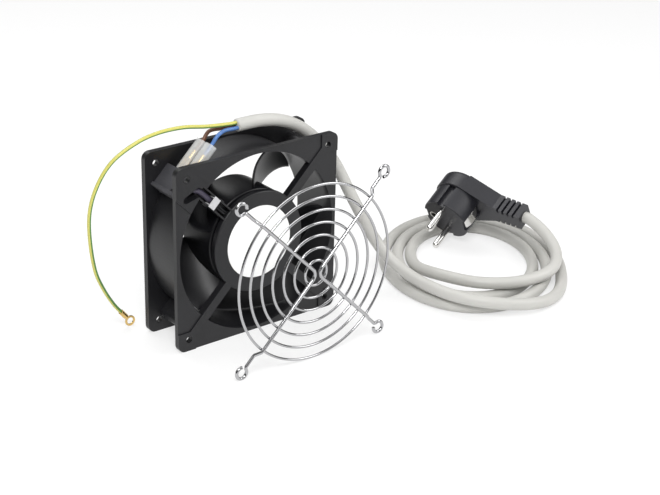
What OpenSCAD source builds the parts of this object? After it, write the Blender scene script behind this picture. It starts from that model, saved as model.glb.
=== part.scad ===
// Axial enclosure fan for a mains supply, with its finger guard standing loose in front of it and a
// coiled mains cord with an angled earthed plug.
// Frame: the origin is the centre of the rear mounting face, +Y points out of that face, +Z is up.
// The guard stands on the floor on its lower eyes, parallel to the front face that it is screwed to.

/* [Frame] */
// Width and height of the square flanges
frame_w = 120; // [119:0.5:124]
// Depth of the frame from the front face to the rear face
frame_d = 38; // [37.5:0.25:40]
// Distance of the fixing holes' centres from the flange's edges
hole_edge = 7.6; // [7.3:0.05:7.9]
// Diameter of a fixing hole
hole_d = 4.3; // [4:0.1:4.5]
// Thickness of a flange
flange_t = 4; // [3:0.25:4.5]
// Outer corner radius of a flange
corner_r = 4.8; // [2:0.2:6]
// Least width of the flange outside the duct's mouths
mouth_edge = 1.6; // [1.5:0.05:2]
// How much wider the duct's mouths are than its throat, on the radius
flare_out = 1.4; // [1:0.1:1.8]
// Wall of the barrel between the flanges
barrel_wall = 2; // [1.6:0.1:2.4]
// Depth of the flare at the front mouth
front_flare = 5; // [3:0.5:6]
// Depth of the flare at the rear mouth
rear_flare = 3; // [2:0.5:4]
// Height of the raised pads over the rest of the front face
pad_h = 0.8; // [0.4:0.1:1.2]
// Distance from a hole's centre to the inner edges of its pad
pad_reach = 4.9; // [4:0.1:6]
// Width of a strut at the front face
strut_w = 5.8; // [4:0.2:7]
// Depth of a strut
strut_h = 5.6; // [4:0.2:5.8]
// Radius of the motor plate that the struts carry
plate_r = 33; // [32.8:0.1:34]
// Thickness of the motor plate
plate_t = 3.6; // [3:0.1:3.8]
// Half width of the corner webs between the flanges
web_half_w = 3.3; // [2:0.1:4]
// Distance from the webs' outer ends to the edges of the fixing holes
web_gap = 0.55; // [0.4:0.05:4]

/* [Lead channel] */
// Outside width of the channel that carries the motor leads
channel_w = 8; // [7:0.2:9]
// Depth of the channel
channel_h = 6.2; // [5:0.2:6.4]
// Wall and floor of the channel
channel_wall = 1; // [0.8:0.1:1.2]
// Length of the clip over the channel
clip_len = 5.2; // [4:0.2:7]
// Where the clip's middle stands on the way from the motor plate to the barrel
clip_share = 0.546; // [0.45:0.01:0.6]
// Thickness of the clip's plate
clip_t = 0.7; // [0.5:0.1:1]
// Diameter of one motor lead with its insulation
lead_d = 1.3; // [1:0.1:1.6]
// Diameter of the sleeve over both leads
lead_sleeve_d = 3.8; // [3.4:0.1:4.2]

/* [Motor] */
// Radius of the blank label
label_r = 23.6; // [15:0.2:26]
// Thickness of the label
label_t = 0.3; // [0.2:0.05:0.4]
// Radius of the shaft
shaft_r = 2.5; // [2.3:0.05:2.6]
// Outside radius of a ball bearing
bearing_r = 6.5; // [6.3:0.05:6.8]
// Width of a ball bearing
bearing_w = 4; // [3.6:0.1:4.4]
// Radius of a ball
ball_r = 1; // [0.8:0.05:1.1]
// Balls in one bearing
ball_n = 7; // [5:1:8]
// Outside radius of the bearing tube
tube_r = 8; // [7.6:0.1:8.6]
// Outside radius of the stator stack
stator_r = 24; // [23:0.25:24.5]
// Space between the stator stack and the motor plate
stack_clear = 7.4; // [6:0.2:11]
// Width of a stator pole
pole_w = 9; // [7:0.5:10]
// Height of the windings above and below the stack
winding_over = 3; // [2:0.25:3.5]
// Air gap between the stator and the rotor
air_gap = 0.4; // [0.3:0.05:0.6]
// Radial thickness of the rotor's iron ring
rotor_iron_t = 4.6; // [4:0.1:5]
// Wall of the rotor's steel cup
cup_t = 1.4; // [1:0.1:1.6]
// Number of bars in the rotor cage
bar_n = 24; // [16:1:28]
// Radius of a cage bar
bar_r = 0.9; // [0.6:0.05:1.1]

/* [Impeller] */
// Number of blades
blade_n = 5; // [3:1:7]
// Running gap between the blade tips and the duct's throat
tip_gap = 1.2; // [0.8:0.1:3]
// Wall of the impeller's hub
hub_t = 2.2; // [1.6:0.1:2.4]
// Axial length of a blade
blade_len = 27; // [20:0.5:28]
// Angle that a blade turns through from front to rear
blade_wrap = 50; // [30:1:60]
// Angle by which a blade's tip leads its root
blade_sweep = 8; // [-10:1:20]
// Greatest thickness of a blade
blade_t = 2; // [1.4:0.1:2.6]
// Where the first blade stands round the axis
blade_phase = 80; // [0:1:359]

/* [Terminals] */
// Width of a flat terminal
tab_w = 4.8; // [4:0.1:5.2]
// Thickness of a flat terminal
tab_t = 0.8; // [0.5:0.1:0.8]
// Length of a flat terminal outside its block
tab_len = 7.8; // [6.4:0.2:9]
// Distance between the two terminals
tab_pitch = 9.4; // [9:0.1:10.4]
// Distance of the terminals from the barrel
tab_out = 4; // [3.6:0.1:4.4]
// Length of an insulating sleeve
sleeve_len = 22; // [20:0.5:24]
// Width of a sleeve
sleeve_w = 8; // [7.6:0.1:8.4]
// Thickness of a sleeve
sleeve_h = 5; // [4.6:0.1:5.4]
// Wall of a sleeve
sleeve_wall = 0.6; // [0.4:0.1:0.8]

/* [Finger guard] */
// Number of rings
ring_n = 7; // [3:1:7]
// Distance from the eyes' centres in to the outermost ring
ring_in = 18.1; // [17.5:0.1:24]
// Wire of the rings
ring_wire = 1.6; // [1.4:0.1:1.8]
// Wire of the spokes
spoke_wire = 2.1; // [1.9:0.1:2.3]
// Set-back of the eyes behind the spokes
eye_setback = 4; // [3.4:0.1:4.6]
// Radius of an eye, to the middle of its wire
eye_r = 3.55; // [3.3:0.05:3.8]
// Bend where the two arms of a spoke pair meet
tip_bend_r = 4.8; // [3:0.1:5.6]
// How deep a weld sinks a ring into a spoke
weld_sink = 0.15; // [0.1:0.05:0.25]
// Distance from the fan's front face to the guard's eyes where it stands
guard_away = 48.7; // [40:0.5:60]
// How far to the right of the fan's axis the guard stands
guard_right = 4.7; // [0:0.1:8]

/* [Mains cord] */
// Diameter of the sheath
cord_d = 8; // [7:0.1:8.2]
// Diameter of one insulated core
core_d = 2.4; // [2:0.1:2.6]
// Radius of the coil's outermost turn
coil_r = 73.8; // [70:0.1:80]
// How much each turn of the coil is drawn in
coil_pitch = 10.5; // [10.5:0.1:11]

/* [Earth ring] */
// Outside diameter of the ring
lug_d = 7; // [6.6:0.1:8]
// Bore of the ring
lug_bore = 4.3; // [4.1:0.1:4.6]
// Thickness of the ring
lug_t = 0.8; // [0.6:0.1:1]
// Length of the crimped barrel
lug_barrel_len = 6; // [4:0.5:7]

/* [Plug] */
// Radius of the part that enters a socket
plug_r = 17.8; // [17:0.1:18.2]
// Depth of the part that enters a socket
plug_depth = 17.5; // [16:0.5:18]
// Radius of the body behind it
plug_body_r = 19; // [18.6:0.1:20]
// Thickness of the body behind it
plug_body_t = 13.5; // [12:0.5:15]
// Diameter of a pin
pin_d = 4.8; // [4.7:0.05:4.9]
// Length of a pin
pin_len = 19; // [18.5:0.25:19.5]
// Distance between the pins
pin_pitch = 19; // [18.5:0.25:19.5]
// Width of the strain relief along the line of the pins
relief_w = 14.5; // [12:0.5:16]
// Thickness of the strain relief along the pins
relief_h = 13; // [11:0.5:13.5]
// Number of slots in the strain relief
slot_n = 4; // [3:1:5]

/* [Hidden] */
$fn = 64;
over = 1;
fit_gap = 0.3;
half_w = frame_w / 2;
floor_z = -half_w;
hole_r = hole_d / 2;
hole_at = half_w - hole_edge;
mouth_r = half_w - mouth_edge;
throat_r = mouth_r - flare_out;
barrel_r = throat_r + barrel_wall;
web_reach = hole_at * sqrt(2) - hole_r - web_gap;
front_inner = frame_d - flange_t;
black = "#232427";

// Points of an arc about a centre, from one angle to another, in n steps
function arc(centre, r, from, to, n) = [for (i = [0:n]) centre + r * [cos(from + (to - from) * i / n),
    sin(from + (to - from) * i / n)]];

// Turns a shape drawn with x to the right and y up so that its z points out of the fan's front face
module on_axis() {
    rotate([90, 0, 0]) children();
}

// Places a shape drawn with x outwards and y across, at an angle round the fan's axis
module at_corner(angle) {
    rotate([0, 0, angle]) children();
}

// Extrudes a section (x across, y up) outwards from the fan's axis
module radial_bar(from, to) {
    translate([from, 0, 0]) rotate([90, 0, 90]) linear_extrude(to - from) children();
}

// Smooth curve through a list of points, with n steps between neighbours
function curve_point(a, b, c, d, t) = (2 * b + (c - a) * t + (2 * a - 5 * b + 4 * c - d) * t * t
    + (3 * b - a - 3 * c + d) * t * t * t) / 2;
function curve(p, n) = [for (i = [0:len(p) - 2]) for (k = [0:n - 1])
    curve_point(p[max(i - 1, 0)], p[i], p[i + 1], p[min(i + 2, len(p) - 1)], k / n), p[len(p) - 1]];
function unit(v) = v / norm(v);
function path_length(p) = len(p) < 2 ? 0 : [for (i = 1, s = norm(p[1] - p[0]); i < len(p); i = i + 1,
    s = s + (i < len(p) ? norm(p[i] - p[i - 1]) : 0)) s][len(p) - 2];
function tangents(p) = [for (i = [0:len(p) - 1]) unit(p[min(i + 1, len(p) - 1)] - p[max(i - 1, 0)])];
function square_to(v, t) = unit(v - (v * t) * t);
// Normals carried along the path without twist
function carried(t, n, i = 0) = i == len(t) ? [] :
    let (m = square_to(n, t[i])) concat([m], carried(t, m, i + 1));

// Skin over rings of points that all have the same number of points
module skin(points, sides) {
    rings = len(points) / sides;
    top = (rings - 1) * sides;
    walls = [for (i = [0:rings - 2]) for (k = [0:sides - 1]) each [
        [i * sides + k, (i + 1) * sides + k, (i + 1) * sides + (k + 1) % sides],
        [i * sides + k, (i + 1) * sides + (k + 1) % sides, i * sides + (k + 1) % sides]]];
    cap = [for (j = [0:sides / 2 - 2]) each [[j, j + 1, sides - 2 - j], [j, sides - 2 - j, sides - 1 - j]]];
    far_cap = [for (f = cap) [top + f[2], top + f[1], top + f[0]]];
    polyhedron(points, concat(walls, cap, far_cap));
}

// A round tube of flat sides swept along a path of points
module tube(path, d, sides, start = [0, 0, 1]) {
    t = tangents(path);
    n = carried(t, start);
    skin([for (i = [0:len(path) - 1]) for (k = [0:sides - 1])
        path[i] + d / 2 * (cos(360 * k / sides) * n[i] + sin(360 * k / sides) * cross(t[i], n[i]))], sides);
}

// A path that runs beside another one
function beside(path, start, by) = let (n = carried(tangents(path), start))
    [for (i = [0:len(path) - 1]) path[i] + by * n[i]];

module ring(r_out, r_in, h) {
    difference() {
        cylinder(r = r_out, h = h);
        translate([0, 0, -over]) cylinder(r = r_in, h = h + 2 * over);
    }
}

// The frame: two flanges, barrel, webs, struts, lead channel and motor plate are one casting
pad_in = hole_at - pad_reach;
corner_angles = [45, 225, 315];
terminal_angle = 135;
terminal_pad_low = 5.9;
terminal_pad_high = 13.7;
flare_steps = 6;
channel_in = channel_w / 2 - channel_wall;
channel_floor = frame_d - channel_h;
slot_far_out = 6.4;
slot_far_side = 9.55;
slot_far_r = 2.1;
slot_near_out = 2.6;
slot_near_side = 1.2;
slot_near_r = channel_in;
slot_out = 3;
slot_far = [barrel_r + slot_far_out, slot_far_side];
slot_near = [barrel_r + slot_near_out, slot_near_side];
slot_near_reach = barrel_r + slot_out;
label_recess = label_t + 0.1;
label_gap = 0.2;
plate_edge_r = 1.1;
lead_groove_w = 4;
lead_groove_h = 1.8;
lead_groove_from = 12;
latch_w = 0.8;
latch_len = 4;
latch_h = 2;
latch_drop = 1;

module flange_outline() {
    inner = half_w - corner_r;
    square([frame_w, 2 * inner], center = true);
    square([2 * inner, frame_w], center = true);
    for (x = [-inner, inner], y = [-inner, inner]) translate([x, y]) circle(corner_r);
}

module raised_pads() {
    for (a = corner_angles) {
        rotate(a) translate([0, -strut_w / 2]) square([frame_w, strut_w]);
        rotate(a - 45) translate([pad_in, pad_in]) square(half_w);
    }
    rotate(terminal_angle) translate([0, -terminal_pad_low]) square([frame_w, terminal_pad_low + terminal_pad_high]);
}

// The opening in the front flange where the leads pass behind it
module lead_slot() {
    along = unit(slot_near - slot_far);
    across = [-along[1], along[0]];
    rotate(terminal_angle) {
        translate(slot_far) circle(slot_far_r);
        translate(slot_near) circle(slot_near_r);
        polygon([slot_far - across * slot_far_r, slot_near - across * slot_near_r, slot_near + across * slot_near_r,
            slot_far + across * slot_far_r]);
        translate([throat_r - over, -channel_in]) square([slot_near_reach - throat_r, 2 * channel_in]);
    }
}

module duct() {
    flare = mouth_r - throat_r;
    rear = [for (i = [0:flare_steps]) [throat_r + flare * (1 - sin(90 * i / flare_steps)),
        rear_flare * (1 - cos(90 * i / flare_steps))]];
    front = [for (i = [flare_steps:-1:0]) [throat_r + flare * (1 - sin(90 * i / flare_steps)),
        frame_d - front_flare * (1 - cos(90 * i / flare_steps))]];
    rotate_extrude($fn = 128) polygon(concat([[0, -over], [mouth_r, -over]], rear, front,
        [[mouth_r, frame_d + over], [0, frame_d + over]]));
}

module strut_section() {
    root = strut_w - 1.2 * strut_w / 5;
    polygon([[-strut_w / 2, frame_d], [strut_w / 2, frame_d], [root / 2, frame_d - strut_h],
        [-root / 2, frame_d - strut_h]]);
}

module channel_section() {
    w = channel_w / 2;
    polygon([[-w, frame_d], [-channel_in, frame_d], [-channel_in, channel_floor + channel_wall],
        [channel_in, channel_floor + channel_wall], [channel_in, frame_d], [w, frame_d], [w, channel_floor],
        [-w, channel_floor]]);
}

module motor_plate() {
    rim = arc([plate_r - plate_edge_r, frame_d - plate_edge_r], plate_edge_r, 0, 90, 6);
    difference() {
        rotate_extrude($fn = 128) polygon(concat([[tube_r, frame_d - plate_t], [plate_r, frame_d - plate_t]], rim,
            [[label_r + label_gap, frame_d], [label_r + label_gap, frame_d - label_recess],
            [tube_r, frame_d - label_recess]]));
        at_corner(terminal_angle) translate([lead_groove_from, -lead_groove_w / 2, frame_d - plate_t - over])
            cube([plate_r, lead_groove_w, lead_groove_h + over]);
    }
}

module corner_web() {
    round_at = web_reach - web_half_w;
    translate([barrel_r - over, -web_half_w]) square([round_at - barrel_r + over, 2 * web_half_w]);
    translate([round_at, 0]) circle(web_half_w);
}

module housing() {
    color(black) on_axis() {
        difference() {
            union() {
                linear_extrude(flange_t) flange_outline();
                translate([0, 0, front_inner]) linear_extrude(flange_t - pad_h) flange_outline();
                translate([0, 0, frame_d - pad_h]) linear_extrude(pad_h) intersection() {
                    flange_outline();
                    raised_pads();
                }
                cylinder(r = barrel_r, h = frame_d - pad_h, $fn = 128);
                for (a = corner_angles) at_corner(a) linear_extrude(frame_d - flange_t) corner_web();
            }
            duct();
            for (x = [-hole_at, hole_at], y = [-hole_at, hole_at])
                translate([x, y, -over]) cylinder(r = hole_r, h = frame_d + 2 * over);
            translate([0, 0, channel_floor + channel_wall]) linear_extrude(channel_h) lead_slot();
        }
        for (a = corner_angles) at_corner(a) radial_bar(plate_r - over, barrel_r) strut_section();
        difference() {
            at_corner(terminal_angle) radial_bar(plate_r - over, throat_r + over) channel_section();
            at_corner(terminal_angle) translate([plate_r - 2 * over, -lead_groove_w / 2, channel_floor - over])
                cube([2 * over + lead_groove_w, lead_groove_w, channel_wall + 2 * over]);
        }
        motor_plate();
        at_corner(terminal_angle) {
            translate([clip_at + clip_len / 2, channel_w / 2 - over, frame_d - latch_drop - latch_h])
                cube([latch_len, latch_w + over, latch_h]);
            translate([clip_at - clip_len / 2 - latch_len, -channel_w / 2 - latch_w, frame_d - latch_drop - latch_h])
                cube([latch_len, latch_w + over, latch_h]);
        }
    }
}

// Terminal block between the flanges, with the pocket under the lead slot
block_low = 4.9;
block_high = 10.7;
block_out = 8;
block_reach = barrel_r + block_out;
block_ledge = 1.2;
block_ledge_w = 2.2;
pocket_depth = 12;

module terminal_block() {
    root = barrel_r - over;
    color("#2b2b30") on_axis() difference() {
        translate([0, 0, flange_t]) linear_extrude(front_inner - flange_t) difference() {
            at_corner(terminal_angle) polygon([[root, -block_low], [block_reach, -block_low],
                [block_reach, block_high - block_ledge], [block_reach + block_ledge, block_high - block_ledge],
                [block_reach + block_ledge, block_high + block_ledge_w - block_ledge],
                [root, block_high + block_ledge_w - block_ledge]]);
            circle(barrel_r, $fn = 128);
        }
        translate([0, 0, front_inner - pocket_depth]) linear_extrude(pocket_depth + over) lead_slot();
    }
}

// Flat terminals: two tabs that lie across the block and stand out of its upper face
tab_mid = [for (s = [-1, 1]) frame_d / 2 - fit_gap + s * tab_pitch / 2];
tab_reach = barrel_r + tab_out;
tab_bare = 2;
tab_root = block_low - tab_bare;

module terminal_tabs() {
    color("#c9c2a8") on_axis() at_corner(terminal_angle) for (z = tab_mid)
        translate([tab_reach - tab_t / 2, -block_low - tab_len, z - tab_w / 2]) cube([tab_t, tab_len + tab_root, tab_w]);
}

// Motor leads: x runs outwards along the channel, y across it, z out of the front face
lead_gap = 0.1;
lead_side = lead_d / 2 + lead_gap;
yoke_t = 4;
yoke_r = tube_r + yoke_t;
shoe_t = 3;
shoe_in = stator_r - shoe_t;
coil_seat = 0.2;
coil_in = yoke_r + coil_seat;
coil_gap = 1.5;
coil_out = shoe_in - coil_gap;
lead_run = barrel_r - plate_r;
lead_run_share = [0, 0.19, 0.42, 0.615, 0.885];
lead_run_depth = [2.7, 3.1, 3.2, 3.2, 3.2];
lead_under = [[-1.5, 0, -8.3], [-1.5, 0, -5.2], [-0.5, 0, -3.2], [2, 0, -2.7]];
lead_beyond = [[2, 0.4, -3.3], [5, 3.6, -5.4], [6.3, 7.6, -9], [6.4, 9.4, -13], [6.4, 9.6, -16.3]];
lead_route = concat([for (p = lead_under) p + [coil_out, 0, frame_d]],
    [for (i = [0:4]) [plate_r + lead_run_share[i] * lead_run, 0, frame_d - lead_run_depth[i]]],
    [for (p = lead_beyond) p + [barrel_r, 0, frame_d]]);
lead_path = curve(lead_route, 2);
sleeve_start_share = 0.61;
lead_sleeve_from = plate_r + sleeve_start_share * lead_run;
clip_at = plate_r + clip_share * lead_run;
lead_sleeve_turn = 2;
lead_sleeve_wall = 0.35;
clip_w = 7.4;
clip_leg_w = 0.8;
clip_leg_deep = 4.5;
clip_leg_end = frame_d - clip_leg_deep;

module motor_leads() {
    color("#1b1b1f") on_axis() at_corner(terminal_angle) for (s = [-1, 1])
        tube(beside(lead_path, [0, 1, 0], s * lead_side), lead_d, 8, [0, 1, 0]);
}

module lead_sleeve() {
    inside = [for (p = lead_path) if (p[0] >= lead_sleeve_from && p[1] < lead_sleeve_turn) p];
    dir_a = unit(inside[0] - inside[1]);
    dir_b = unit(inside[len(inside) - 1] - inside[len(inside) - 2]);
    longer = concat([inside[0] + over * dir_a], inside, [inside[len(inside) - 1] + over * dir_b]);
    color("#6d6478") on_axis() at_corner(terminal_angle) difference() {
        tube(inside, lead_sleeve_d, 8, [0, 1, 0]);
        tube(longer, lead_sleeve_d - 2 * lead_sleeve_wall, 8, [0, 1, 0]);
    }
}

module lead_clip() {
    color("#b9babd") on_axis() at_corner(terminal_angle) translate([clip_at - clip_len / 2, 0, 0]) {
        translate([0, -clip_w / 2, frame_d]) cube([clip_len, clip_w, clip_t]);
        for (s = [-1, 1]) translate([0, s * (channel_in - lead_gap - clip_leg_w / 2) - clip_leg_w / 2, clip_leg_end])
            cube([clip_len, clip_leg_w, frame_d - clip_leg_end + clip_t]);
    }
}

module hub_label() {
    color("#f4f4f2") on_axis() translate([0, 0, frame_d - label_recess]) cylinder(r = label_r, h = label_t, $fn = 128);
}

// Bearings, shaft and stator on the bearing tube
rear_bearing = 12;
bearing_lip = 0.5;
tube_low = rear_bearing - bearing_lip;
tube_shoulder = rear_bearing + bearing_w;
washer_t = 0.6;
front_bearing = frame_d - 6.8;
shoulder_top = front_bearing - washer_t;
shoulder_r = bearing_r - 0.14 * bearing_r;
ball_at = (shaft_r + bearing_r) / 2;
race_half = 0.7 * ball_r;
ball_gap = 0.05;
ball_seat = 0.03;
shaft_low = 3.2;
shaft_high = frame_d - 1.6;
circlip_t = 0.6;
circlip_r = 4;
circlip_groove = shaft_r - 0.4 * ball_r;
circlip_gap = 1.6;
race_levels = [rear_bearing, front_bearing];

module bearing_tube() {
    color("#c8a24a") on_axis() rotate_extrude() polygon([[shoulder_r, tube_shoulder], [bearing_r, tube_shoulder],
        [bearing_r, tube_low], [tube_r, tube_low], [tube_r, frame_d - label_recess], [bearing_r, frame_d - label_recess],
        [bearing_r, shoulder_top], [shoulder_r, shoulder_top]]);
}

module bearing_outer_races() {
    color("#b6bcc2") on_axis() for (z = race_levels) translate([0, 0, z]) difference() {
        ring(bearing_r, ball_at + race_half, bearing_w);
        translate([0, 0, bearing_w / 2]) rotate_extrude() translate([ball_at, 0]) circle(ball_r + ball_gap, $fn = 32);
    }
}

module bearing_inner_races() {
    color("#aab0b6") on_axis() for (z = race_levels) translate([0, 0, z]) difference() {
        ring(ball_at - race_half, shaft_r, bearing_w);
        translate([0, 0, bearing_w / 2]) rotate_extrude() translate([ball_at, 0]) circle(ball_r - ball_seat, $fn = 32);
    }
}

module bearing_balls() {
    color("#d5d9dd") on_axis() for (z = race_levels, i = [0:ball_n - 1])
        rotate([0, 0, 360 * i / ball_n]) translate([ball_at, 0, z + bearing_w / 2]) sphere(ball_r, $fn = 32);
}

module preload_washer() {
    color("#8f9499") on_axis() translate([0, 0, shoulder_top]) ring(bearing_r - lead_gap, shoulder_r - 2 * lead_gap, washer_t);
}

module shaft() {
    color("#9a9fa5") on_axis() difference() {
        translate([0, 0, shaft_low]) cylinder(r = shaft_r, h = shaft_high - shaft_low);
        translate([0, 0, front_bearing + bearing_w]) ring(shaft_r + over, circlip_groove, circlip_t);
    }
}

module shaft_circlip() {
    color("#55585c") on_axis() translate([0, 0, front_bearing + bearing_w]) difference() {
        ring(circlip_r, circlip_groove, circlip_t);
        translate([0, -circlip_gap / 2, -over]) cube([circlip_r + over, circlip_gap, circlip_t + 2 * over]);
    }
}

stack_low = 13;
stack_high = frame_d - plate_t - stack_clear;
stack_h = stack_high - stack_low;
shoe_half = 37;
bobbin_wall = 0.8;
bobbin_flange = 0.6;
winding_t = 2.8;
coil_half = pole_w / 2 + winding_t;
pole_angles = [45, 135, 225, 315];

module stator_core() {
    color("#6f7479") on_axis() translate([0, 0, stack_low]) linear_extrude(stack_h) difference() {
        union() {
            circle(yoke_r);
            for (a = pole_angles) rotate(a) translate([0, -pole_w / 2]) square([shoe_in + over, pole_w]);
            for (a = pole_angles) rotate(a) intersection() {
                difference() {
                    circle(stator_r, $fn = 128);
                    circle(shoe_in, $fn = 128);
                }
                polygon([[0, 0], 2 * stator_r * [cos(shoe_half), -sin(shoe_half)], [2 * stator_r, 0],
                    2 * stator_r * [cos(shoe_half), sin(shoe_half)]]);
            }
        }
        circle(tube_r);
    }
}

module pole_box(from, to, half, low, high) {
    translate([from, -half, low]) cube([to - from, 2 * half, high - low]);
}

module stator_bobbins() {
    wound = pole_w / 2 + bobbin_wall;
    color("#e6e1d0") on_axis() for (a = pole_angles) at_corner(a) difference() {
        union() {
            pole_box(coil_in, coil_out, wound, stack_low - bobbin_wall, stack_high + bobbin_wall);
            for (x = [coil_in, coil_out - bobbin_flange])
                pole_box(x, x + bobbin_flange, coil_half, stack_low - winding_over, stack_high + winding_over);
        }
        pole_box(coil_in - over, coil_out + over, pole_w / 2, stack_low, stack_high);
    }
}

module stator_windings() {
    wound = pole_w / 2 + bobbin_wall;
    low = coil_in + bobbin_flange;
    high = coil_out - bobbin_flange;
    color("#b5652a") on_axis() for (a = pole_angles) at_corner(a) difference() {
        pole_box(low, high, coil_half, stack_low - winding_over, stack_high + winding_over);
        pole_box(low - over, high + over, wound, stack_low - bobbin_wall, stack_high + bobbin_wall);
    }
}

// Rotor: cage motor turned inside out, with the iron ring in a steel cup under the impeller's hub
iron_in = stator_r + air_gap;
iron_out = iron_in + rotor_iron_t;
cup_r = iron_out + cup_t;
hub_r = cup_r + hub_t;
bar_at = (iron_in + iron_out) / 2 + lead_gap;
cage_ring_h = 1.5;
cage_in = iron_in + 0.13 * rotor_iron_t;
cage_out = iron_out - 0.09 * rotor_iron_t;
cup_low = 3;
hub_run_gap = 0.6;
hub_cover = 0.6;
hub_high = channel_floor - hub_run_gap;
cup_high = hub_high - hub_cover;
boss_t = 2.5;
boss_r = shaft_r + boss_t;
boss_high = 10;
nose_t = 0.9;
nose_r = shaft_r + nose_t;
hub_low = 2.6;

module rotor_core() {
    color("#7b8086") on_axis() translate([0, 0, stack_low]) difference() {
        ring(iron_out, iron_in, stack_h);
        for (i = [0:bar_n - 1]) rotate([0, 0, 360 * i / bar_n]) translate([bar_at, 0, -over])
            cylinder(r = bar_r, h = stack_h + 2 * over, $fn = 24);
    }
}

module rotor_cage() {
    color("#c4c8cc") on_axis() {
        for (z = [stack_low - cage_ring_h, stack_high]) translate([0, 0, z]) ring(cage_out, cage_in, cage_ring_h);
        for (i = [0:bar_n - 1]) rotate([0, 0, 360 * i / bar_n]) translate([bar_at, 0, stack_low - cage_ring_h / 2])
            cylinder(r = bar_r, h = stack_h + cage_ring_h, $fn = 24);
    }
}

module rotor_cup() {
    color("#84898e") on_axis() rotate_extrude($fn = 96) polygon([[shaft_r, cup_low], [cup_r, cup_low], [cup_r, cup_high],
        [iron_out, cup_high], [iron_out, cup_low + cup_t], [boss_r, cup_low + cup_t], [boss_r, boss_high],
        [nose_r, boss_high], [nose_r, rear_bearing], [shaft_r, rear_bearing]]);
}

// Impeller: aerofoil sections laid on cylinders from the hub to the tip
blade_back = 1.2;
blade_front = hub_high - blade_back;
tip_r = throat_r - tip_gap;
blade_root = hub_r - hub_t / 2;
blade_camber = 5;
blade_stations = [[0, 0.3], [0.03, 0.6], [0.12, 0.88], [0.3, 1], [0.5, 1], [0.7, 0.86], [0.88, 0.62], [1, 0.3]];
blade_sections = 7;
hub_round = 1.4;

function blade_point(r, u, thick, side) = let (
        turn = blade_wrap * PI / 180 * r,
        long = norm([turn, blade_len]),
        off = side * blade_t / 2 * thick,
        lead = blade_sweep * (r - blade_root) / (tip_r - blade_root),
        a = lead - blade_wrap * u + blade_camber * sin(180 * u) + off * blade_len / long / r * 180 / PI)
    [r * cos(a), r * sin(a), blade_front - blade_len * u - off * turn / long];
function blade_section(r) = concat([for (s = blade_stations) blade_point(r, s[0], s[1], -1)],
    [for (i = [len(blade_stations) - 1:-1:0]) blade_point(r, blade_stations[i][0], blade_stations[i][1], 1)]);

module blade() {
    skin([for (i = [0:blade_sections]) each blade_section(blade_root + (tip_r - blade_root) * i / blade_sections)],
        2 * len(blade_stations));
}

module impeller() {
    color("#2a2b2f") on_axis() {
        rotate_extrude($fn = 96) polygon(concat([[cup_r, hub_low], [hub_r, hub_low]],
            arc([hub_r - hub_round, hub_high - hub_round], hub_round, 0, 90, 5), [[cup_r, hub_high]]));
        for (i = [0:blade_n - 1]) rotate([0, 0, blade_phase + 360 * i / blade_n]) blade();
    }
}

// Finger guard: x to the right and y up from its centre, z out from the plane of its eyes
guard_low = half_w - (hole_at + eye_r + spoke_wire / 2);
eye_at = hole_at * sqrt(2);
spoke_angles = [135, 225, 315, 45];
eye_bend = 2;
eye_run = sqrt(pow(eye_bend + eye_r, 2) - pow(eye_bend, 2));
eye_turn = asin(eye_bend / (eye_bend + eye_r));
eye_sweep = 300;
ring_step = (eye_at - ring_in) / ring_n;
jog_r = 2.5;
jog_off = 3.4;
jog_at = ring_n * ring_step + jog_off;
jog_flat = eye_setback - 2 * jog_r * (1 - cos(45));
jog_from = jog_at - jog_r * sin(45) - jog_flat / 2;
jog_to = jog_at + jog_r * sin(45) + jog_flat / 2;
ring_back = (spoke_wire + ring_wire) / 2 - weld_sink;
jog_arc = [for (i = [0:3]) jog_r * [sin(15 * i), 1 - cos(15 * i)]];
arm_profile = concat([[tip_bend_r, 0, eye_setback]],
    [for (i = [0:3]) [jog_from + jog_arc[i][0], 0, eye_setback - jog_arc[i][1]]],
    [for (i = [3:-1:0]) [jog_to - jog_arc[i][0], 0, jog_arc[i][1]]],
    [for (p = arc([eye_at - eye_run, eye_bend], eye_bend, -90, -eye_turn, 3)) [p[0], p[1], 0]],
    [for (i = [1:24]) let (a = 180 - eye_turn - eye_sweep * i / 24)
        [eye_at + eye_r * cos(a), eye_r * sin(a), 0]]);
function arm(angle, side) = [for (p = arm_profile) [p[0] * cos(angle) - side * p[1] * sin(angle),
    p[0] * sin(angle) + side * p[1] * cos(angle), p[2]]];
function backwards(p) = [for (i = [len(p) - 1:-1:0]) p[i]];
function hairpin(a, side_a, b, side_b, mid) = concat(backwards(arm(a, side_a)),
    [for (i = [1:5]) let (t = mid + 45 - 15 * i) [
        tip_bend_r * (sqrt(2) * cos(mid + 180) + cos(t)), tip_bend_r * (sqrt(2) * sin(mid + 180) + sin(t)),
        eye_setback]], arm(b, side_b));

module on_guard() {
    translate([guard_right, -guard_low, frame_d + guard_away]) children();
}

module guard_rings() {
    color("#cfd2d6") on_axis() on_guard() for (i = [1:ring_n])
        translate([0, 0, eye_setback - ring_back]) rotate_extrude($fn = 96) translate([i * ring_step, 0])
            circle(ring_wire / 2, $fn = 24);
}

module guard_spoke_left() {
    color("#d6d9dc") on_axis() on_guard() tube(hairpin(spoke_angles[0], 1, spoke_angles[1], 1, 0), spoke_wire, 8);
}

module guard_spoke_right() {
    color("#d6d9dc") on_axis() on_guard() tube(hairpin(spoke_angles[2], 1, spoke_angles[3], 1, 180), spoke_wire, 8);
}

// Sleeves and receptacles on the flat terminals; y runs back along the terminals
sleeve_off = 0.5;
sleeve_round = 1.6;
receptacle_t = 2.2;
receptacle_len = 8;
receptacle_off = 1.1;
crimp_len = 6;
crimp_wall = 0.4;
crimp_grip = 4;
sleeve_in_w = sleeve_w - 2 * sleeve_wall;

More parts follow.
